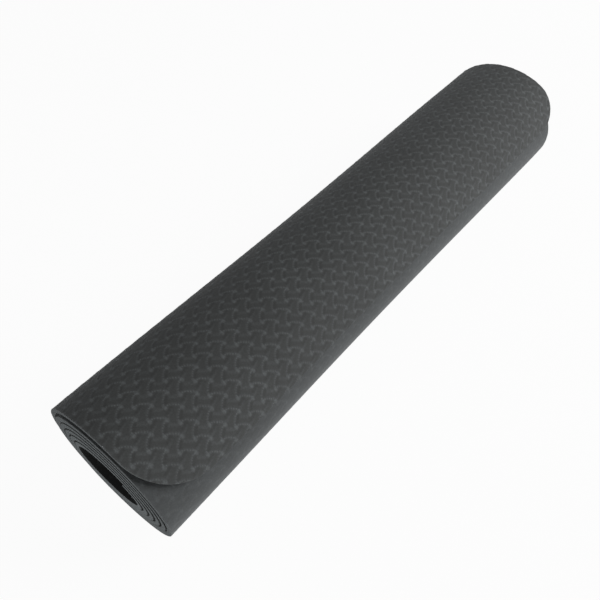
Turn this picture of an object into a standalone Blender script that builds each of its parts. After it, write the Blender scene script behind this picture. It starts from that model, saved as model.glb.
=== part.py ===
"""A rolled-up foam exercise mat, lying on its flattened underside.

The mat is one long sheet of foam, wound round an oval hollow. The roll lies along Y with its
near end at -Y, and the sheet's free end lies over the top. The free end is divided into strips
that turn on living hinges in the sheet's outer face. They uncurl together, over the left side,
until they lie flat on the floor.

An angle here is the direction that the sheet's outer face looks in, in degrees, seen from the
near end: 0 is right, 90 is up. It grows from the sheet's free end to its inner end, by 360 for
each turn.
"""

import math

import bmesh
import bpy
import numpy as np
from mathutils import Vector

# The sheet, laid flat
MAT_LENGTH = 1.73
MAT_WIDTH = 0.61
MAT_THICKNESS = 0.0054
NEAR_CORNER_RADIUS = 0.052
FAR_CORNER_RADIUS = 0.040

# The winding
HOLLOW_HALF_WIDTH = 0.0295
HOLLOW_HALF_HEIGHT = 0.0188
TURN_GAP = 0.0005
CORE_CREEP = 0.0022
FLAT_DEPTH = 0.0005
FREE_END_ANGLE = 28.0

# The loose outer turn, which stands off the turn beneath it
FIRST_HINGE_ANGLE = 260.0
SLACK = 0.001
SLACK_ANGLE = 60.0
LOOSE_CREEP = 0.001
END_LIFT = 0.0008
END_LIFT_ANGLE = 70.0

# The loose turn's strips
STRIP_COUNT = 18
HINGE_GAP = 0.0003

# How finely the curves are divided
ROLL_STEP_ANGLE = 5.0
STRIP_STEPS = 3
CORNER_STEPS = 8
CLOSEST_ANGLE = 0.5

# The foam's finish
FOAM_COLOUR = (0.066, 0.069, 0.068, 1.0)
FOAM_ROUGHNESS = 0.82
SHARP_ANGLE = 30.0

FULL_TURN = 360.0
LOWEST_ANGLE = 270.0
SMALL_ANGLE = 0.01
TURN_PITCH = MAT_THICKNESS + TURN_GAP


def ease(progress):
    """A smooth rise from 0 at or below 0 to 1 at or above 1."""
    progress = np.clip(progress, 0.0, 1.0)
    return progress**3 * (10.0 - 15.0 * progress + 6.0 * progress**2)


def reach(angles, inner_angle):
    """Distance of the sheet's inner face from the roll's centre line, in the way it looks."""
    turned = np.radians(angles)
    hollow = np.hypot(HOLLOW_HALF_WIDTH * np.cos(turned), HOLLOW_HALF_HEIGHT * np.sin(turned))
    turns_beneath = (inner_angle - angles) / FULL_TURN
    loose = SLACK * ease((FIRST_HINGE_ANGLE - angles) / SLACK_ANGLE)
    lifted = END_LIFT * ease((FREE_END_ANGLE + END_LIFT_ANGLE - angles) / END_LIFT_ANGLE)
    return hollow + TURN_PITCH * turns_beneath + loose + lifted


def section(angles, depth, inner_angle):
    """Points X, Z of the section about the centre line, depth above the sheet's inner face."""
    angles = np.atleast_1d(angles)
    turned = np.radians(angles)
    rise = reach(angles + SMALL_ANGLE, inner_angle) - reach(angles - SMALL_ANGLE, inner_angle)
    slope = rise / math.radians(2.0 * SMALL_ANGLE)
    distance = reach(angles, inner_angle) + depth
    x = distance * np.cos(turned) - slope * np.sin(turned)
    z = distance * np.sin(turned) + slope * np.cos(turned)
    return np.stack([x, z], axis=1)


def sheet_lengths(inner_angle):
    """Angles from the free end to the inner end, and the length of the sheet up to each."""
    angles = np.arange(FREE_END_ANGLE, inner_angle, 1.0)
    angles = np.append(angles, inner_angle)
    steps = np.diff(section(angles, MAT_THICKNESS / 2.0, inner_angle), axis=0)
    return angles, np.append(0.0, np.cumsum(np.hypot(steps[:, 0], steps[:, 1])))


def find_inner_angle():
    """The angle of the inner end at which the wound sheet is MAT_LENGTH long."""
    low = high = FIRST_HINGE_ANGLE + FULL_TURN
    while sheet_lengths(high)[1][-1] < MAT_LENGTH:
        low, high = high, high + FULL_TURN
    while high - low > SMALL_ANGLE / 100.0:
        middle = (low + high) / 2.0
        if sheet_lengths(middle)[1][-1] < MAT_LENGTH:
            low = middle
        else:
            high = middle
    return high


INNER_ANGLE = find_inner_angle()
LENGTH_ANGLES, LENGTHS = sheet_lengths(INNER_ANGLE)
CORNER_ANGLE = float(np.interp(NEAR_CORNER_RADIUS, LENGTHS, LENGTH_ANGLES))
STRIP_ANGLE = (FIRST_HINGE_ANGLE - FREE_END_ANGLE) / STRIP_COUNT
OUTERMOST = section(np.append(LENGTH_ANGLES, LOWEST_ANGLE), MAT_THICKNESS, INNER_ANGLE)
CENTRE_X = -float(OUTERMOST[:, 0].min() + OUTERMOST[:, 0].max()) / 2.0
CENTRE_Z = -float(OUTERMOST[:, 1].min()) - FLAT_DEPTH


def place(angle, depth, shift=0.0):
    """A point X, Z of the sheet, shifted along it towards its inner end."""
    x, z = section(angle, depth, INNER_ANGLE)[0]
    x -= shift * math.sin(math.radians(angle))
    z += shift * math.cos(math.radians(angle))
    return float(x) + CENTRE_X, float(z) + CENTRE_Z


def corner_inset(angle, radius):
    """How far a rounded corner draws in the sheet's side edge at an angle of the winding."""
    from_corner = max(0.0, radius - float(np.interp(angle, LENGTH_ANGLES, LENGTHS)))
    return radius - math.sqrt(max(0.0, radius**2 - from_corner**2))


def creep(angle):
    """How far the sheet has slid in Y: its inner turns to the near end, its loose turn to the far."""
    wound = max(0.0, angle - CORNER_ANGLE) / (INNER_ANGLE - CORNER_ANGLE)
    loose = float(ease((FIRST_HINGE_ANGLE - angle) / SLACK_ANGLE))
    return CORE_CREEP * (0.5 - wound) + LOOSE_CREEP * (loose - 0.5)


def side_edges(angle):
    """Y of the sheet's near and far side edges, which its rounded corners draw in."""
    near_y = corner_inset(angle, NEAR_CORNER_RADIUS) - MAT_WIDTH / 2.0
    far_y = MAT_WIDTH / 2.0 - corner_inset(angle, FAR_CORNER_RADIUS)
    return creep(angle) + near_y, creep(angle) + far_y


def outline(angle, shift=0.0):
    """The four corners of the sheet where it is cut across at an angle."""
    inner_x, inner_z = place(angle, 0.0, shift)
    outer_x, outer_z = place(angle, MAT_THICKNESS, shift)
    outer_z = max(outer_z, 0.0)
    near_y, far_y = side_edges(angle)
    return [
        Vector((inner_x, near_y, inner_z)),
        Vector((outer_x, near_y, outer_z)),
        Vector((outer_x, far_y, outer_z)),
        Vector((inner_x, far_y, inner_z)),
    ]


def foam(name):
    """Dark grey foam, with a dull skin."""
    material = bpy.data.materials.new(name)
    material.use_nodes = True
    shader = material.node_tree.nodes["Principled BSDF"]
    shader.inputs["Base Color"].default_value = FOAM_COLOUR
    shader.inputs["Roughness"].default_value = FOAM_ROUGHNESS
    shader.inputs["Metallic"].default_value = 0.0
    return material


def loft(name, outlines, origin):
    """A solid through four-cornered outlines, closed at both ends, with its origin given."""
    solid = bmesh.new()
    rings = [[solid.verts.new(corner - origin) for corner in corners] for corners in outlines]
    for ring, following in zip(rings, rings[1:]):
        for corner in range(4):
            beside = (corner + 1) % 4
            solid.faces.new((ring[corner], ring[beside], following[beside], following[corner]))
    solid.faces.new(rings[0])
    solid.faces.new(reversed(rings[-1]))
    bmesh.ops.recalc_face_normals(solid, faces=solid.faces)
    mesh = bpy.data.meshes.new(name)
    solid.to_mesh(mesh)
    solid.free()
    mesh.shade_smooth()
    mesh.set_sharp_from_angle(angle=math.radians(SHARP_ANGLE))
    mesh.materials.append(foam(name))
    piece = bpy.data.objects.new(name, mesh)
    bpy.context.scene.collection.objects.link(piece)
    return piece


def flat_edges():
    """The two angles at which the outermost turn meets the floor, at the edges of its flat."""
    angles = []
    for side in (-1.0, 1.0):
        low, high = 0.0, 90.0
        while high - low > SMALL_ANGLE:
            middle = (low + high) / 2.0
            above = place(LOWEST_ANGLE + side * middle, MAT_THICKNESS)[1] > 0.0
            low, high = (low, middle) if above else (middle, high)
        angles.append(LOWEST_ANGLE + side * high)
    return angles


def spread(low, high, wanted):
    """The wanted angles between low and high that aren't crowded, and both ends."""
    angles = [low, high]
    for angle in wanted:
        crowded = min(abs(angle - other) for other in angles) < CLOSEST_ANGLE
        if low < angle < high and not crowded:
            angles.append(float(angle))
    return sorted(angles)


def roll_angles():
    """Where the wound part of the sheet is cut across."""
    regular = np.arange(math.ceil(FIRST_HINGE_ANGLE / ROLL_STEP_ANGLE), INNER_ANGLE / ROLL_STEP_ANGLE)
    return spread(FIRST_HINGE_ANGLE, INNER_ANGLE, flat_edges() + list(regular * ROLL_STEP_ANGLE))


def corner_angles():
    """Where the rounded corners' arcs have their points."""
    arc = 1.0 - np.cos(np.linspace(0.0, math.pi / 2.0, CORNER_STEPS + 1))
    along = np.concatenate([NEAR_CORNER_RADIUS * arc, FAR_CORNER_RADIUS * arc])
    return list(np.interp(along, LENGTHS, LENGTH_ANGLES))


def build_roll():
    """The wound part of the sheet, from the first hinge to its inner end, in one length."""
    angles = roll_angles()
    outlines = [outline(angle) for angle in angles]
    outlines[0] = outline(angles[0], HINGE_GAP / 2.0)
    return loft("mat_roll", outlines, Vector((0.0, 0.0, 0.0)))


def hinge_point(index):
    """The middle of a strip's living hinge, in the sheet's outer face."""
    x, z = place(FIRST_HINGE_ANGLE - index * STRIP_ANGLE, MAT_THICKNESS)
    return Vector((x, 0.0, z))


def build_strip(index, carrier):
    """One strip of the loose turn, which turns about its edge that is nearer the roll."""
    high = FIRST_HINGE_ANGLE - index * STRIP_ANGLE
    low = high - STRIP_ANGLE
    is_last = index == STRIP_COUNT - 1
    wanted = corner_angles() + list(np.linspace(low, high, STRIP_STEPS + 1))
    angles = spread(low, high, wanted)
    outlines = [outline(angle) for angle in angles]
    outlines[-1] = outline(high, -HINGE_GAP / 2.0)
    if not is_last:
        outlines[0] = outline(low, HINGE_GAP / 2.0)
    name = "free_edge" if is_last else f"outer_wrap_{index + 1:02d}"
    strip = loft(name, outlines, hinge_point(index))
    strip.parent = carrier
    strip.location = hinge_point(index) - (hinge_point(index - 1) if index else carrier.location)
    return strip


def least_gap():
    """The smallest distance between two turns of the roll, measured from the points of each."""
    angles = np.array(roll_angles())
    inner_face = np.array([place(angle, 0.0) for angle in angles])
    outer_face = np.array([place(angle, MAT_THICKNESS) for angle in angles])
    least = math.inf
    for start, end, start_angle in zip(inner_face, inner_face[1:], angles):
        beneath = outer_face[np.abs(angles - start_angle - FULL_TURN) < FULL_TURN / 2.0]
        along = end - start
        shares = np.clip((beneath - start) @ along / (along @ along), 0.0, 1.0)
        gaps = np.linalg.norm(beneath - start - shares[:, None] * along, axis=1)
        least = min([least, *gaps])
    return least


def build_mat():
    """The roll, and the chain of strips that its loose outer turn is made of."""
    for old in list(bpy.data.objects):
        bpy.data.objects.remove(old)
    carrier = build_roll()
    for index in range(STRIP_COUNT):
        carrier = build_strip(index, carrier)
    print(f"turns in the roll: {(INNER_ANGLE - FREE_END_ANGLE) / FULL_TURN:.2f}")
    print(f"least gap between turns: {least_gap() * 1000.0:.3f} mm")


build_mat()
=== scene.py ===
"""A rolled-up dark grey exercise mat: its looks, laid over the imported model."""

import math

import bpy
import numpy as np
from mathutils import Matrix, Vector


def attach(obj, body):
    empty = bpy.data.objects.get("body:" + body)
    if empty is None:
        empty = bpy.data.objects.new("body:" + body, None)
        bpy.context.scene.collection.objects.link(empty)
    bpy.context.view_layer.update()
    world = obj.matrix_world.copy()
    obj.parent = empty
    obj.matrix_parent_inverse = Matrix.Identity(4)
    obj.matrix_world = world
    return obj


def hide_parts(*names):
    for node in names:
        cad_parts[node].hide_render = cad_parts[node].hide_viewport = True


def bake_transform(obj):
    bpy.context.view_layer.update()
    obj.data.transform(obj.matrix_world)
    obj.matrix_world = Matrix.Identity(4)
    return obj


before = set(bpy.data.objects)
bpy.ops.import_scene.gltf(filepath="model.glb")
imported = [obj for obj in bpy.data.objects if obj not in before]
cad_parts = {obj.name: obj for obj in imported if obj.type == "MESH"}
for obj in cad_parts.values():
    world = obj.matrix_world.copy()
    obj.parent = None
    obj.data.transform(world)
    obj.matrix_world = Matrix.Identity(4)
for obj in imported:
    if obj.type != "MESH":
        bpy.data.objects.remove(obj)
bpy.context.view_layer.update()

# Camera: above the roll's right-hand side, looking down its length from the near end.
# Its place was fitted to the roll's outline in the photograph.
CAMERA_PLACE = (0.243185, -0.36949, 0.521741)
CAMERA_TILT = 39.002
CAMERA_TURN = 39.582
CAMERA_LENS = 38.366
CAMERA_SENSOR = 36.0

camera_lens = bpy.data.cameras.new("camera")
camera_lens.lens = CAMERA_LENS
camera_lens.sensor_fit = "HORIZONTAL"
camera_lens.sensor_width = CAMERA_SENSOR
camera = bpy.data.objects.new("camera", camera_lens)
camera.location = CAMERA_PLACE
camera.rotation_euler = (math.radians(CAMERA_TILT), 0.0, math.radians(CAMERA_TURN))
bpy.context.scene.collection.objects.link(camera)
bpy.context.scene.camera = camera

# Studio: a plain white floor under a large soft lamp on the right, towards the far end, with
# a low one before the near end. The floor looks white to the camera and keeps a faint shadow.
FLOOR_SIZE = 30.0
FLOOR_COLOUR = (0.9, 0.9, 0.9, 1.0)
FLOOR_SHADOW_SHARE = 0.045
WHITE = (1.0, 1.0, 1.0, 1.0)
SKY_STRENGTH = 0.11

# Each lamp's name, place, size and power
SOFT_LAMPS = (
    ("key_lamp", (1.06, 1.03, 1.13), 1.0, 20.5),
    ("low_lamp", (0.1, -2.1, 0.3), 0.5, 17.5),
)

for each in bpy.context.selected_objects:
    each.select_set(False)
bpy.ops.mesh.primitive_plane_add(size=FLOOR_SIZE)
floor = bpy.context.object
floor.name = "floor"

paper = bpy.data.materials.new("white_floor")
paper.use_nodes = True
nodes, links = paper.node_tree.nodes, paper.node_tree.links
nodes.remove(nodes["Principled BSDF"])
lit = nodes.new("ShaderNodeBsdfDiffuse")
lit.inputs["Color"].default_value = FLOOR_COLOUR
glow = nodes.new("ShaderNodeEmission")
glow.inputs["Strength"].default_value = 1.0
kept_shadow = nodes.new("ShaderNodeMixShader")
kept_shadow.inputs["Fac"].default_value = FLOOR_SHADOW_SHARE
seen_white = nodes.new("ShaderNodeMixShader")
rays = nodes.new("ShaderNodeLightPath")
seen = nodes.new("ShaderNodeMath")
seen.operation = "MAXIMUM"
seen_too = nodes.new("ShaderNodeMath")
seen_too.operation = "MAXIMUM"
links.new(rays.outputs["Is Camera Ray"], seen.inputs[0])
links.new(rays.outputs["Is Glossy Ray"], seen.inputs[1])
links.new(seen.outputs[0], seen_too.inputs[0])
links.new(rays.outputs["Is Transmission Ray"], seen_too.inputs[1])
links.new(glow.outputs[0], kept_shadow.inputs[1])
links.new(lit.outputs[0], kept_shadow.inputs[2])
links.new(seen_too.outputs[0], seen_white.inputs["Fac"])
links.new(lit.outputs[0], seen_white.inputs[1])
links.new(kept_shadow.outputs[0], seen_white.inputs[2])
links.new(seen_white.outputs[0], nodes["Material Output"].inputs["Surface"])
floor.data.materials.append(paper)

sky = bpy.data.worlds.new("studio")
bpy.context.scene.world = sky
sky.use_nodes = True
nodes, links = sky.node_tree.nodes, sky.node_tree.links
room = nodes["Background"]
room.inputs["Color"].default_value = WHITE
room.inputs["Strength"].default_value = SKY_STRENGTH
backdrop = nodes.new("ShaderNodeBackground")
backdrop.inputs["Color"].default_value = WHITE
backdrop.inputs["Strength"].default_value = 1.0
either = nodes.new("ShaderNodeMixShader")
rays = nodes.new("ShaderNodeLightPath")
links.new(rays.outputs["Is Camera Ray"], either.inputs["Fac"])
links.new(room.outputs[0], either.inputs[1])
links.new(backdrop.outputs[0], either.inputs[2])
links.new(either.outputs[0], nodes["World Output"].inputs["Surface"])

for name, place, size, power in SOFT_LAMPS:
    lamp_light = bpy.data.lights.new(name, "AREA")
    lamp_light.size = size
    lamp_light.energy = power
    lamp = bpy.data.objects.new(name, lamp_light)
    lamp.location = place
    lamp.rotation_euler = (-Vector(place)).to_track_quat("-Z", "Y").to_euler()
    bpy.context.scene.collection.objects.link(lamp)

bpy.context.scene.view_settings.view_transform = "Standard"

# Core of the roll: the inner four and a half turns of one sheet of closed-cell foam, wound
# round an oval hollow. Foam has no seams: the sheet is cut from a long embossed web, so its
# cut edges show fine cells, while its two faces have a smooth skin.

# The sheet and its winding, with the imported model's own values
SHEET_WIDTH = 0.61
SHEET_THICKNESS = 0.0054
NEAR_CORNER_RADIUS = 0.052
FAR_CORNER_RADIUS = 0.04
HOLLOW_HALF_WIDTH = 0.0295
HOLLOW_HALF_HEIGHT = 0.0188
TURN_PITCH = 0.0059
INNER_ANGLE = 2222.009029
FREE_END_ANGLE = 28.0
CORNER_ANGLE = 74.80649
FIRST_HINGE_ANGLE = 260.0
SLACK = 0.001
SLACK_ANGLE = 60.0
END_LIFT = 0.0008
END_LIFT_ANGLE = 70.0
CORE_CREEP = 0.0022
LOOSE_CREEP = 0.001
CENTRE_X = 0.00144008
CENTRE_Z = 0.05569126
FULL_TURN = 360.0
SMALL_ANGLE = 0.01
WINDING_STEP = 0.25

# The cut edges are rounded. Beside them the sheet is thinner where the turns stand apart, at
# the roll's two bends, and thicker where they press together, along its flat sides.
EDGE_ROUNDING = 0.0003
EDGE_INSETS = (0.0, 0.00009, 0.0003)
EDGE_LINES = len(EDGE_INSETS) - 1
EDGE_THINNING = 0.0011
THIN_WIDTH = 0.02
PRESSED_TOGETHER = 0.4
BEND_POWER = 3

# What the real roll has beside the straight one: its near corner pressed closer, a waist, a bow
# to the right at the far end, and inner turns that end there before the outermost one
NEAR_CORNER_PRESS = 0.0016
NEAR_CORNER_WIDTH = 0.15
NEAR_CORNER_LENGTH = 0.085
WAIST_MEAN = -0.004
WAIST_SWING = 0.0145
WAIST_PLACE = -0.02
WAIST_LENGTH = 0.6
BOW_SHIFT = 0.0031
BOW_START = -0.15
BOW_LENGTH = 0.42
BOW_POWER = 1.5
FAR_TRIM = 0.0018
FAR_SETBACK = 0.008
SETBACK_ANGLES = (258.0, 330.0)

# The lowest that any point lies above the floor
LOWEST_PLACE = 0.00005

# The core's start and grid, and the sharpest bend between faces that is shaded smooth
CORE_START_ANGLE = 620.0
CORE_STEP = 0.0022
CORE_COLUMNS = 24
SMOOTH_ANGLE = 66.0

# The embossed weave: the size of a cell, where the first one starts, and how the rows lean
WEAVE_ACROSS = 0.01475
WEAVE_ALONG = 0.0152
WEAVE_START_ACROSS = 0.0049
WEAVE_START_ALONG = 0.0117
WEAVE_SKEW = -0.018

# Each mark of the weave: across, along, half its width, half its length, all in cells
WEAVE_BLOBS = ((0.0, 0.0, 0.1, 0.14), (0.625, -0.495, 0.1, 0.14))
WEAVE_BEADS = tuple(
    (across, along, 0.044, 0.044)
    for across, along in (
        (0.04, 0.143), (0.13, 0.247), (0.227, 0.339), (0.326, 0.417), (0.43, 0.482), (0.53, 0.505),
        (0.156, 0.0), (0.268, -0.065), (0.378, -0.143), (0.477, -0.234), (0.58, -0.326),
    )
)
WEAVE_RIDGES = tuple(
    (across, along, 0.09, 0.055)
    for across, along in (
        (0.768, -0.443), (0.846, -0.41), (0.924, -0.378), (1.002, -0.332), (1.08, -0.286),
        (-0.17, 0.013), (-0.235, 0.07), (-0.3, 0.13), (-0.378, 0.188), (-0.456, 0.247),
    )
)
WEAVE_HOLLOWS = tuple(
    (across, along, 0.1, 0.085)
    for across, along in (
        (0.4, 0.34), (0.28, 0.26), (0.18, 0.17), (-0.1, -0.27), (0.06, -0.24), (0.22, -0.17),
    )
)

# A distance, in mark sizes, that no mark reaches
BEYOND_MARKS = 9.0

# The relief of each kind of mark: its height, where its slope ends, and the slope's width,
# both counted in mark sizes from its middle. The foot is a shallow trough round the marks.
BLOB_RELIEF = (0.00024, 1.5, 1.1)
BEAD_RELIEF = (0.00019, 1.6, 1.1)
RIDGE_RELIEF = (0.00008, 1.7, 1.3)
FOOT_RELIEF = (0.00009, 3.2, 2.0)
HOLLOW_RELIEF = (0.00013, 1.7, 1.3)

# The tone of each kind of mark: full up to the first distance, none from the second, and how
# strong it is. The banks are the paler foam on both sides of a line of beads. The darker tone in
# the troughs beside the marks is painted shade.
BLOB_TONE = (0.3, 1.6, 0.85)
BEAD_TONE = (0.5, 1.5, 0.8)
BANK_TONE = (0.8, 3.4, 0.32)
RIDGE_TONE = (0.3, 2.2, 0.26)
HOLLOW_SHADE_TONE = (0.3, 1.8, 1.0)

# The skin: colours, grain and gloss. Where turns press on each other the marks are weaker, and
# the faces inside the roll are painted darker, with less gloss, as painted shade, because little
# light comes back between the turns.
BRICK_COLOUR = (0.0355, 0.0388, 0.0383, 1.0)
# Painted sheen: a lighter, bluer skin colour for the turns under the loose turn, where light
# grazes the skin
SHEEN_PAINTED_COLOUR = (0.0415, 0.0475, 0.0495, 1.0)
MARK_COLOUR = (0.104, 0.115, 0.119, 1.0)
# Painted shade: the darker colour in the troughs of the weave
HOLLOW_SHADE_COLOUR = (0.02, 0.0218, 0.0212, 1.0)
SHEEN_COLOUR = (0.86, 0.96, 1.0, 1.0)
PRESSED_MARK_SHARE = 0.4
# Painted shade: how much darker and less glossy the skin inside the roll is
INNER_PAINTED_SHADE_SHARE = 0.25
HOLLOW_SHADE_SHARE = 0.75
GRAIN_SCALE = 10.0
GRAIN_DETAIL = 3.0
GRAIN_ROUGHNESS = 0.65
MOTTLE_SCALE = 0.45
MOTTLE_DETAIL = 2.0
WHOLE = (0.0, 1.0)
NOISE_SPAN = (0.3, 0.7)
GRAIN_SHADES = (0.6, 1.4)
MOTTLE_SHADES = (0.86, 1.12)
SKIN_ROUGHNESS = (0.85, 0.95)
BUMP_DEPTH = 0.0002
WEAVE_BUMP = 0.8
GRAIN_BUMP = 0.6
COAT_ROUGHNESS = 0.9
SKIN_SHEEN = 0.06
SHEEN_ROUGHNESS = 0.5

# The cut edge: paler than the skin, a little darker towards the outer turns and lighter at the
# inner ones
CUT_COLOUR = (0.1, 0.113, 0.117, 1.0)
CUT_DARK_COLOUR = (0.068, 0.077, 0.08, 1.0)
OUTWARD_DARKENING_CELLS = 105.0
OUTWARD_DARKENING_SHARES = (0.72, 1.12)
CUT_GRAIN_SCALE = 1400.0
CUT_GRAIN_DETAIL = 2.0
CUT_BUMP = 0.4
CUT_ROUGHNESS = 0.85
CUT_SPECULAR = 0.2
CUT_SHEEN = 0.15


def ease(progress):
    """A smooth rise from 0 at or below 0 to 1 at or above 1."""
    progress = np.clip(progress, 0.0, 1.0)
    return progress**3 * (10.0 - 15.0 * progress + 6.0 * progress**2)


def reach(angles):
    """Distance of the sheet's inner face from the roll's centre line, in the way it looks."""
    turned = np.radians(angles)
    hollow = np.hypot(HOLLOW_HALF_WIDTH * np.cos(turned), HOLLOW_HALF_HEIGHT * np.sin(turned))
    turns = TURN_PITCH * (INNER_ANGLE - angles) / FULL_TURN
    loose = SLACK * ease((FIRST_HINGE_ANGLE - angles) / SLACK_ANGLE)
    lifted = END_LIFT * ease((FREE_END_ANGLE + END_LIFT_ANGLE - angles) / END_LIFT_ANGLE)
    return hollow + turns + loose + lifted


def wound(angles, depth):
    """Places X, Z of points of the wound sheet, depth above its inner face."""
    turned = np.radians(angles)
    rise = reach(angles + SMALL_ANGLE) - reach(angles - SMALL_ANGLE)
    slope = rise / math.radians(2.0 * SMALL_ANGLE)
    distance = reach(angles) + depth
    x = distance * np.cos(turned) - slope * np.sin(turned) + CENTRE_X
    z = distance * np.sin(turned) + slope * np.cos(turned) + CENTRE_Z
    return x, z


WINDING = np.append(np.arange(FREE_END_ANGLE, INNER_ANGLE, WINDING_STEP), INNER_ANGLE)
middle_x, middle_z = wound(WINDING, SHEET_THICKNESS / 2.0)
LENGTHS = np.append(0.0, np.cumsum(np.hypot(np.diff(middle_x), np.diff(middle_z))))


def length_at(angle):
    """How much of the sheet lies between its free end and an angle of the winding."""
    return float(np.interp(angle, WINDING, LENGTHS))


def corner_inset(along, radius):
    """How far a rounded corner of the free end draws in the sheet's side edge."""
    from_corner = np.maximum(0.0, radius - along)
    return radius - np.sqrt(np.maximum(0.0, radius**2 - from_corner**2))


def side_edges(along):
    """Where the sheet's near and far side edges are, across it."""
    near = corner_inset(along, NEAR_CORNER_RADIUS) - SHEET_WIDTH / 2.0
    far = SHEET_WIDTH / 2.0 - corner_inset(along, FAR_CORNER_RADIUS)
    return near, far


def edge_distance(across, along):
    """How far a point of the sheet is from the nearest cut edge."""
    radius = np.where(across < 0.0, NEAR_CORNER_RADIUS, FAR_CORNER_RADIUS)
    beside = np.maximum(0.0, np.abs(across) - (SHEET_WIDTH / 2.0 - radius))
    rounded = radius - np.hypot(beside, np.maximum(0.0, radius - along))
    to_side = SHEET_WIDTH / 2.0 - np.abs(across)
    to_end = LENGTHS[-1] - along
    return np.minimum(np.minimum(rounded, to_side), to_end)


def opened_share(angles):
    """How far the turns stand apart: most at the roll's two bends and under the loose turn."""
    turned = np.radians(angles)
    at_bends = np.abs(np.cos(turned)) ** BEND_POWER - PRESSED_TOGETHER * np.abs(np.sin(turned))
    loose = ease((FIRST_HINGE_ANGLE - angles) / SLACK_ANGLE)
    return np.clip(np.maximum(at_bends, loose), -PRESSED_TOGETHER, 1.0)


def slackened(x, y, z):
    """The straight roll as it really lies: tighter in the middle and bowed at the far end."""
    turned = 2.0 * math.pi * (y - WAIST_PLACE) / WAIST_LENGTH
    swell = 1.0 + WAIST_MEAN - WAIST_SWING * np.cos(turned)
    bow = BOW_SHIFT * np.clip((y - BOW_START) / BOW_LENGTH, 0.0, 1.0) ** BOW_POWER
    return x * swell + bow, np.maximum(z * swell, LOWEST_PLACE)


def nearness(weave_x, weave_y, marks):
    """Distance to the nearest of some marks, where 1 is the mark's own edge."""
    nearest = np.full(weave_x.shape, BEYOND_MARKS)
    for mark_x, mark_y, wide, long in marks:
        aside = ((weave_x - mark_x + 0.5) % 1.0 - 0.5) / wide
        ahead = ((weave_y - mark_y + 0.5) % 1.0 - 0.5) / long
        nearest = np.minimum(nearest, np.hypot(aside, ahead))
    return nearest


def soft_step(value):
    """A smooth rise from 0 to 1."""
    value = np.clip(value, 0.0, 1.0)
    return value * value * (3.0 - 2.0 * value)


def weave_place(across, along):
    """A point of the sheet in cells of the embossed weave."""
    from_side = across + SHEET_WIDTH / 2.0
    weave_x = (from_side - WEAVE_START_ACROSS) / WEAVE_ACROSS
    weave_y = (along - WEAVE_START_ALONG - WEAVE_SKEW * from_side) / WEAVE_ALONG
    return weave_x, weave_y


def relief(distance, shape):
    """Height of a mark at a distance from its middle."""
    height, slope_end, slope_width = shape
    return height * soft_step((slope_end - distance) / slope_width)


def weave_height(across, along):
    """How far the embossed skin stands above or below the sheet's even face."""
    weave_x, weave_y = weave_place(across, along)
    blob = nearness(weave_x, weave_y, WEAVE_BLOBS)
    bead = nearness(weave_x, weave_y, WEAVE_BEADS)
    ridge = nearness(weave_x, weave_y, WEAVE_RIDGES)
    hollow = nearness(weave_x, weave_y, WEAVE_HOLLOWS)
    raised = np.maximum(relief(blob, BLOB_RELIEF), relief(bead, BEAD_RELIEF))
    raised = np.maximum(raised, relief(ridge, RIDGE_RELIEF))
    foot = relief(np.minimum(np.minimum(blob, bead), ridge), FOOT_RELIEF)
    return raised - foot - relief(hollow, HOLLOW_RELIEF)


def feature_distance(tree, weave, marks):
    """Shader nodes that give the distance to the nearest of some marks, 1 at its own edge."""
    nearest = None
    for mark_x, mark_y, wide, long in marks:
        moved = tree.nodes.new("ShaderNodeVectorMath")
        moved.operation = "ADD"
        moved.inputs[1].default_value = (0.5 - mark_x, 0.5 - mark_y, 0.0)
        within = tree.nodes.new("ShaderNodeVectorMath")
        within.operation = "FRACTION"
        stretched = tree.nodes.new("ShaderNodeVectorMath")
        stretched.operation = "MULTIPLY_ADD"
        stretched.inputs[1].default_value = (1.0 / wide, 1.0 / long, 0.0)
        stretched.inputs[2].default_value = (-0.5 / wide, -0.5 / long, 0.0)
        away = tree.nodes.new("ShaderNodeVectorMath")
        away.operation = "LENGTH"
        tree.links.new(weave, moved.inputs[0])
        tree.links.new(moved.outputs["Vector"], within.inputs[0])
        tree.links.new(within.outputs["Vector"], stretched.inputs[0])
        tree.links.new(stretched.outputs["Vector"], away.inputs[0])
        if nearest is None:
            nearest = away.outputs["Value"]
            continue
        least = tree.nodes.new("ShaderNodeMath")
        least.operation = "MINIMUM"
        tree.links.new(nearest, least.inputs[0])
        tree.links.new(away.outputs["Value"], least.inputs[1])
        nearest = least.outputs[0]
    return nearest


def fading(tree, distance, tone):
    """A shader node that turns a distance into a mask, as strong as the tone says."""
    near, far, strength = tone
    mask = tree.nodes.new("ShaderNodeMapRange")
    mask.interpolation_type = "SMOOTHSTEP"
    mask.inputs["From Min"].default_value = near
    mask.inputs["From Max"].default_value = far
    mask.inputs["To Min"].default_value = strength
    mask.inputs["To Max"].default_value = 0.0
    tree.links.new(distance, mask.inputs["Value"])
    return mask.outputs["Result"]


def larger(tree, first, second):
    """A shader node that gives the larger of two values."""
    node = tree.nodes.new("ShaderNodeMath")
    node.operation = "MAXIMUM"
    tree.links.new(first, node.inputs[0])
    tree.links.new(second, node.inputs[1])
    return node.outputs[0]


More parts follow.
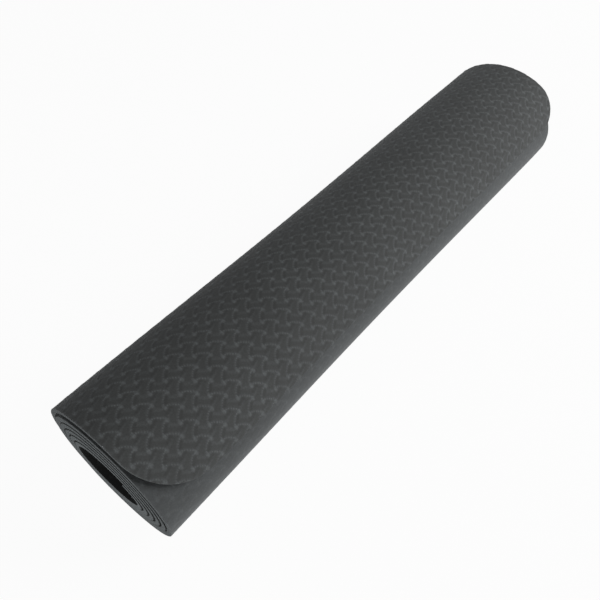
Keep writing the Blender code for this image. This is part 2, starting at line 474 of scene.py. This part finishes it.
weave_group = bpy.data.node_groups.new("embossed_weave", "ShaderNodeTree")
weave_group.interface.new_socket("Weave", in_out="INPUT", socket_type="NodeSocketVector")
weave_group.interface.new_socket("Marks", in_out="OUTPUT", socket_type="NodeSocketFloat")
weave_group.interface.new_socket("HollowShade", in_out="OUTPUT", socket_type="NodeSocketFloat")
weave_in = weave_group.nodes.new("NodeGroupInput").outputs["Weave"]
weave_out = weave_group.nodes.new("NodeGroupOutput")
blob_distance = feature_distance(weave_group, weave_in, WEAVE_BLOBS)
bead_distance = feature_distance(weave_group, weave_in, WEAVE_BEADS)
ridge_distance = feature_distance(weave_group, weave_in, WEAVE_RIDGES)
hollow_distance = feature_distance(weave_group, weave_in, WEAVE_HOLLOWS)
blobs = fading(weave_group, blob_distance, BLOB_TONE)
beads = fading(weave_group, bead_distance, BEAD_TONE)
banks = fading(weave_group, bead_distance, BANK_TONE)
ridges = fading(weave_group, ridge_distance, RIDGE_TONE)
# Painted shade: a mask for the troughs beside the marks, where shade falls
hollow_shade = fading(weave_group, hollow_distance, HOLLOW_SHADE_TONE)
strong_marks = larger(weave_group, blobs, beads)
weak_marks = larger(weave_group, banks, ridges)
marked = larger(weave_group, strong_marks, weak_marks)
weave_group.links.new(marked, weave_out.inputs["Marks"])
weave_group.links.new(hollow_shade, weave_out.inputs["HollowShade"])

grain_group = bpy.data.node_groups.new("foam_grain", "ShaderNodeTree")
grain_group.interface.new_socket("Place", in_out="INPUT", socket_type="NodeSocketVector")
grain_group.interface.new_socket("Cells", in_out="OUTPUT", socket_type="NodeSocketFloat")
grain_group.interface.new_socket("Mottle", in_out="OUTPUT", socket_type="NodeSocketFloat")
grain_place = grain_group.nodes.new("NodeGroupInput").outputs["Place"]
grain_out = grain_group.nodes.new("NodeGroupOutput")
cells = grain_group.nodes.new("ShaderNodeTexNoise")
cells.inputs["Scale"].default_value = GRAIN_SCALE
cells.inputs["Detail"].default_value = GRAIN_DETAIL
cells.inputs["Roughness"].default_value = GRAIN_ROUGHNESS
mottle = grain_group.nodes.new("ShaderNodeTexNoise")
mottle.inputs["Scale"].default_value = MOTTLE_SCALE
mottle.inputs["Detail"].default_value = MOTTLE_DETAIL
grain_group.links.new(grain_place, cells.inputs["Vector"])
grain_group.links.new(grain_place, mottle.inputs["Vector"])
grain_group.links.new(cells.outputs["Fac"], grain_out.inputs["Cells"])
grain_group.links.new(mottle.outputs["Fac"], grain_out.inputs["Mottle"])


def grouped(tree, group, place):
    """A node group placed in a material, fed with the sheet's own coordinates."""
    node = tree.nodes.new("ShaderNodeGroup")
    node.node_tree = group
    tree.links.new(place, node.inputs[0])
    return node


def mixed(tree, share, first, second, blending="MIX"):
    """A colour mix node: first where share is 0, second where it is 1."""
    node = tree.nodes.new("ShaderNodeMix")
    node.data_type = "RGBA"
    node.blend_type = blending
    factor, colour_a, colour_b = node.inputs[0], node.inputs[6], node.inputs[7]
    for socket, value in ((factor, share), (colour_a, first), (colour_b, second)):
        if isinstance(value, bpy.types.NodeSocket):
            tree.links.new(value, socket)
        else:
            socket.default_value = value
    return node.outputs[2]


def ranged(tree, value, span, new_span):
    """A shader node that maps one span of values to another."""
    node = tree.nodes.new("ShaderNodeMapRange")
    node.inputs["From Min"].default_value, node.inputs["From Max"].default_value = span
    node.inputs["To Min"].default_value, node.inputs["To Max"].default_value = new_span
    tree.links.new(value, node.inputs["Value"])
    return node.outputs["Result"]


def bumped(tree, height, normal, strength):
    """A bump node, on top of another normal if there is one."""
    node = tree.nodes.new("ShaderNodeBump")
    node.inputs["Strength"].default_value = strength
    node.inputs["Distance"].default_value = BUMP_DEPTH
    tree.links.new(height, node.inputs["Height"])
    if normal is not None:
        tree.links.new(normal, node.inputs["Normal"])
    return node.outputs["Normal"]


def shaded(colour, share):
    """A colour made darker."""
    return tuple(part * share for part in colour[:3]) + (1.0,)


def make_skin(name, brick_colour, marks_share, shade_share):
    """The foam's moulded skin: dark smooth bricks between paler raised marks."""
    material = bpy.data.materials.new(name)
    material.use_nodes = True
    tree = material.node_tree
    shader = tree.nodes["Principled BSDF"]
    place = tree.nodes.new("ShaderNodeAttribute")
    place.attribute_name = "weave"
    weave = grouped(tree, weave_group, place.outputs["Vector"])
    grain = grouped(tree, grain_group, place.outputs["Vector"])

    # Below 1, the shade share darkens the colours and dims the gloss: painted shade inside the
    # roll
    brick = shaded(brick_colour, shade_share)
    mark = shaded(MARK_COLOUR, shade_share)
    hollow = shaded(HOLLOW_SHADE_COLOUR, shade_share)
    marks_seen = ranged(tree, weave.outputs["Marks"], WHOLE, (0.0, marks_share))
    hollow_shade_seen = ranged(tree, weave.outputs["HollowShade"], WHOLE, (0.0, HOLLOW_SHADE_SHARE * marks_share))
    colour = mixed(tree, marks_seen, brick, mark)
    # Painted shade in the troughs of the weave
    colour = mixed(tree, hollow_shade_seen, colour, hollow)

    shade = tree.nodes.new("ShaderNodeMath")
    shade.operation = "MULTIPLY"
    mottled = ranged(tree, grain.outputs["Mottle"], NOISE_SPAN, MOTTLE_SHADES)
    grained = ranged(tree, grain.outputs["Cells"], NOISE_SPAN, GRAIN_SHADES)
    tree.links.new(mottled, shade.inputs[0])
    tree.links.new(grained, shade.inputs[1])
    colour = mixed(tree, 1.0, colour, shade.outputs[0], "MULTIPLY")
    tree.links.new(colour, shader.inputs["Base Color"])

    rough = ranged(tree, grain.outputs["Cells"], NOISE_SPAN, SKIN_ROUGHNESS)
    tree.links.new(rough, shader.inputs["Roughness"])
    normal = bumped(tree, weave.outputs["Marks"], None, WEAVE_BUMP)
    normal = bumped(tree, grain.outputs["Cells"], normal, GRAIN_BUMP)
    tree.links.new(normal, shader.inputs["Normal"])
    shader.inputs["Specular IOR Level"].default_value = shade_share
    shader.inputs["Coat Weight"].default_value = shade_share
    shader.inputs["Coat Roughness"].default_value = COAT_ROUGHNESS
    shader.inputs["Sheen Weight"].default_value = SKIN_SHEEN * shade_share
    shader.inputs["Sheen Roughness"].default_value = SHEEN_ROUGHNESS
    shader.inputs["Sheen Tint"].default_value = SHEEN_COLOUR
    return material


def make_cut_edge():
    """The foam where it is cut: paler than its skin, with fine open cells."""
    material = bpy.data.materials.new("foam_cut_edge")
    material.use_nodes = True
    tree = material.node_tree
    shader = tree.nodes["Principled BSDF"]
    fine = tree.nodes.new("ShaderNodeTexNoise")
    fine.inputs["Scale"].default_value = CUT_GRAIN_SCALE
    fine.inputs["Detail"].default_value = CUT_GRAIN_DETAIL
    place = tree.nodes.new("ShaderNodeTexCoord")
    tree.links.new(place.outputs["Object"], fine.inputs["Vector"])
    open_cells = ranged(tree, fine.outputs["Fac"], NOISE_SPAN, WHOLE)
    colour = mixed(tree, open_cells, CUT_DARK_COLOUR, CUT_COLOUR)

    on_sheet = tree.nodes.new("ShaderNodeAttribute")
    on_sheet.attribute_name = "weave"
    lengthways = tree.nodes.new("ShaderNodeSeparateXYZ")
    tree.links.new(on_sheet.outputs["Vector"], lengthways.inputs["Vector"])
    darker_outwards = ranged(tree, lengthways.outputs["Y"], (0.0, OUTWARD_DARKENING_CELLS), OUTWARD_DARKENING_SHARES)
    colour = mixed(tree, 1.0, colour, darker_outwards, "MULTIPLY")
    tree.links.new(colour, shader.inputs["Base Color"])

    normal = bumped(tree, fine.outputs["Fac"], None, CUT_BUMP)
    tree.links.new(normal, shader.inputs["Normal"])
    shader.inputs["Roughness"].default_value = CUT_ROUGHNESS
    shader.inputs["Specular IOR Level"].default_value = CUT_SPECULAR
    shader.inputs["Sheen Weight"].default_value = CUT_SHEEN
    shader.inputs["Sheen Roughness"].default_value = SHEEN_ROUGHNESS
    return material


FOAM_SKIN = make_skin("foam_skin", BRICK_COLOUR, 1.0, 1.0)
# Painted sheen: the turns under the loose turn get the lighter, bluer colour
PRESSED_SKIN_PAINTED_SHEEN = make_skin("foam_skin_pressed_painted_sheen", SHEEN_PAINTED_COLOUR, PRESSED_MARK_SHARE, 1.0)
# Painted shade: the core's skin is darker and less glossy, as little light reaches between its
# turns
SHADED_INNER_SKIN = make_skin("foam_skin_inner_painted_shade", BRICK_COLOUR, PRESSED_MARK_SHARE, INNER_PAINTED_SHADE_SHARE)
FOAM_CUT_EDGE = make_cut_edge()


def read_vectors(collection, attribute):
    """A mesh's vectors of one kind, as rows of numbers."""
    values = np.empty(len(collection) * 3, np.float32)
    collection.foreach_get(attribute, values)
    return values.reshape(-1, 3).astype(float)


def place_points(mesh, x, y, z):
    """Moves a mesh's points to new places."""
    places = np.stack([x, y, z], axis=1).astype(np.float32)
    mesh.vertices.foreach_set("co", places.ravel())
    mesh.update()


def wind(piece, raised_outside, raised_inside):
    """Embosses a flat length of sheet, rounds its cut edges, and winds it into its place."""
    mesh = piece.data
    across, along, depth = read_vectors(mesh.vertices, "co").T
    outside = depth > SHEET_THICKNESS / 2.0

    # The flat sheet's own coordinates, which the materials use
    weave_x, weave_y = weave_place(across, along)
    weave = np.stack([weave_x, weave_y, depth / SHEET_THICKNESS], axis=1).astype(np.float32)
    attribute = mesh.attributes.new("weave", "FLOAT_VECTOR", "POINT")
    attribute.data.foreach_set("vector", weave.ravel())

    # Emboss, rounded edges and thinner rims, while it is flat
    height = weave_height(across, along)
    height *= np.where(outside, raised_outside(along), -raised_inside(along))
    inward = np.clip(EDGE_ROUNDING - edge_distance(across, along), 0.0, EDGE_ROUNDING)
    lowered = EDGE_ROUNDING - np.sqrt(EDGE_ROUNDING**2 - inward**2)
    angles = np.interp(along, LENGTHS, WINDING)
    near, far = side_edges(along)
    from_side = np.minimum(across - near, far - across)
    thinned = EDGE_THINNING * ease(1.0 - from_side / THIN_WIDTH) * opened_share(angles)
    depth += height + np.where(outside, -lowered, lowered + thinned)

    # Wound into its place
    from_near = (across + SHEET_WIDTH / 2.0) / NEAR_CORNER_WIDTH
    pressed = NEAR_CORNER_PRESS * ease(1.0 - from_near) * ease(1.0 - along / NEAR_CORNER_LENGTH)
    x, z = wound(angles, depth - pressed)

    # Slid along the roll, and set back at the far end
    turned_in = np.maximum(0.0, angles - CORNER_ANGLE) / (INNER_ANGLE - CORNER_ANGLE)
    loose = ease((FIRST_HINGE_ANGLE - angles) / SLACK_ANGLE)
    y = across + CORE_CREEP * (0.5 - turned_in) + LOOSE_CREEP * (loose - 0.5)
    inner = ease((angles - SETBACK_ANGLES[0]) / (SETBACK_ANGLES[1] - SETBACK_ANGLES[0]))
    y -= np.clip(2.0 * across / SHEET_WIDTH, 0.0, 1.0) ** 2 * (FAR_TRIM + FAR_SETBACK * inner)

    x, z = slackened(x, y, z)
    place_points(mesh, x, y, z)
    bpy.ops.object.shade_smooth_by_angle(angle=math.radians(SMOOTH_ANGLE))


def flat_sheet(name, rows, columns, skin, finer_outside):
    """A flat length of foam sheet: a grid with its thickness, at the given lengths along it."""
    all_columns = columns + 2 * EDGE_LINES
    bpy.ops.object.select_all(action="DESELECT")
    bpy.ops.mesh.primitive_grid_add(
        x_subdivisions=all_columns, y_subdivisions=len(rows) - 1, size=2.0
    )
    piece = bpy.context.object
    piece.name = piece.data.name = name
    mesh = piece.data

    # Its points, from side edge to side edge, with closer lines at the two cut edges
    grid_x, grid_y, _ = read_vectors(mesh.vertices, "co").T
    column = np.rint((grid_x + 1.0) / 2.0 * all_columns).astype(int)
    row = np.rint((grid_y + 1.0) / 2.0 * (len(rows) - 1)).astype(int)
    along = np.array(rows)[row]
    near, far = side_edges(along)
    share = np.clip(column - EDGE_LINES, 0, columns) / columns
    across = near + EDGE_INSETS[-1] + share * (far - near - 2.0 * EDGE_INSETS[-1])
    for line in range(EDGE_LINES):
        across = np.where(column == line, near + EDGE_INSETS[line], across)
        across = np.where(column == all_columns - line, far - EDGE_INSETS[line], across)
    place_points(mesh, across, along, np.full(len(along), SHEET_THICKNESS))

    # Its thickness, below those points
    mesh.materials.append(skin)
    mesh.materials.append(FOAM_CUT_EDGE)
    thickness = piece.modifiers.new("thickness", "SOLIDIFY")
    thickness.thickness = SHEET_THICKNESS
    thickness.offset = -1.0
    thickness.material_offset_rim = 1
    bpy.ops.object.modifier_apply(modifier="thickness")
    if finer_outside:
        mesh = piece.data
        looks_up = read_vectors(mesh.polygons, "normal")[:, 2] > 0.5
        mesh.vertices.foreach_set("select", np.zeros(len(mesh.vertices), bool))
        mesh.edges.foreach_set("select", np.zeros(len(mesh.edges), bool))
        mesh.polygons.foreach_set("select", looks_up)
        bpy.ops.object.mode_set(mode="EDIT")
        bpy.ops.mesh.select_mode(type="FACE")
        bpy.ops.mesh.subdivide(number_cuts=1)
        bpy.ops.object.mode_set(mode="OBJECT")
    return piece


def evenly(start, end, step):
    """Lengths along the sheet from start to end, about a step apart."""
    return list(np.linspace(start, end, max(2, int(round((end - start) / step)) + 1)))


def nowhere(along):
    """No emboss on a face that lies hidden in the roll."""
    return np.zeros_like(along)


core_rows = evenly(length_at(CORE_START_ANGLE), LENGTHS[-1] - EDGE_INSETS[-1], CORE_STEP)
core_rows += [LENGTHS[-1] - inset for inset in reversed(EDGE_INSETS[:-1])]
# The core wears the darker skin, which is painted shade
core = flat_sheet("roll_core", core_rows, CORE_COLUMNS, SHADED_INNER_SKIN, False)
wind(core, nowhere, nowhere)
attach(core, "roll")
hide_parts("mat_roll")

# Outer turns of the roll: the same sheet between the core and the loose turn. Its skin shows
# beyond the free end, and all round once the loose turn is laid open.
FINE_CELLS = 12
FINE_STEP = WEAVE_ALONG / FINE_CELLS
FINE_COLUMNS = 492
STRIP_COUNT = 18
STRIP_ANGLE = (FIRST_HINGE_ANGLE - FREE_END_ANGLE) / STRIP_COUNT
ROLL_CUT_ANGLES = (
    FIRST_HINGE_ANGLE + STRIP_ANGLE / 2.0, 325.0, 400.0, 510.0, CORE_START_ANGLE
)
FADE_LENGTH = 0.02


def fading_to_core(along):
    """Part of the emboss, as the turns press on each other, fading out where the core begins."""
    return PRESSED_MARK_SHARE * ease((length_at(CORE_START_ANGLE) - along) / FADE_LENGTH)


for number, (first, last) in enumerate(zip(ROLL_CUT_ANGLES, ROLL_CUT_ANGLES[1:]), 1):
    rows = evenly(length_at(first), length_at(last), FINE_STEP * 2.0)
    # These turns wear the lighter, bluer skin: painted sheen
    turn = flat_sheet(f"roll_turn_{number}", rows, FINE_COLUMNS // 2, PRESSED_SKIN_PAINTED_SHEEN, True)
    wind(turn, fading_to_core, nowhere)
    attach(turn, "roll")
    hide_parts("mat_roll")

# Loose outer turn: the last length of the sheet, which lifts off the roll and lies flat. It
# bends everywhere, so each piece spans one hinge of the imported model, from the middle of one
# strip to the middle of the next.
INSIDE_FADE = 0.03


def fading_to_roll(along):
    """The inner face's emboss fades out where the turn goes under the roll."""
    return ease((length_at(FIRST_HINGE_ANGLE) - along) / INSIDE_FADE)


def everywhere(along):
    """Emboss at its full height."""
    return np.ones_like(along)


def strip_body(index):
    """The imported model's body for a strip, counted from the roll, which is strip 0."""
    if index == 0:
        return "roll"
    return "free_edge" if index == STRIP_COUNT else f"outer_wrap_{index:02d}"


for index in range(1, STRIP_COUNT + 1):
    hinge_angle = FIRST_HINGE_ANGLE - (index - 1) * STRIP_ANGLE
    start = length_at(hinge_angle - STRIP_ANGLE / 2.0)
    end = length_at(hinge_angle + STRIP_ANGLE / 2.0)
    rows = evenly(start, end, FINE_STEP)
    length = flat_sheet(f"loose_turn_{index:02d}", rows, FINE_COLUMNS, FOAM_SKIN, False)
    wind(length, everywhere, fading_to_roll)
    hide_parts(strip_body(index))
    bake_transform(length)

# Free end: the last few millimetres of the sheet, with its cut edge and the arcs of its two
# rounded corners. The near corner lies a little closer to the roll than the far one.
CORNER_STEP_ANGLE = 2.0

arc_rows = []
for turned in np.radians(np.arange(0.0, 90.0, CORNER_STEP_ANGLE)):
    row = NEAR_CORNER_RADIUS * (1.0 - math.cos(turned))
    if not arc_rows or row - arc_rows[-1] < FINE_STEP:
        arc_rows.append(row)
free_length = length_at(FREE_END_ANGLE + STRIP_ANGLE / 2.0)
arc_rows = [row for row in arc_rows if row < free_length - FINE_STEP / 2.0]
arc_rows += evenly(arc_rows[-1], free_length, FINE_STEP)[1:]
free_end = flat_sheet("free_end", arc_rows, FINE_COLUMNS, FOAM_SKIN, False)
wind(free_end, everywhere, everywhere)
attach(free_end, "free_edge")
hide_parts("free_edge")
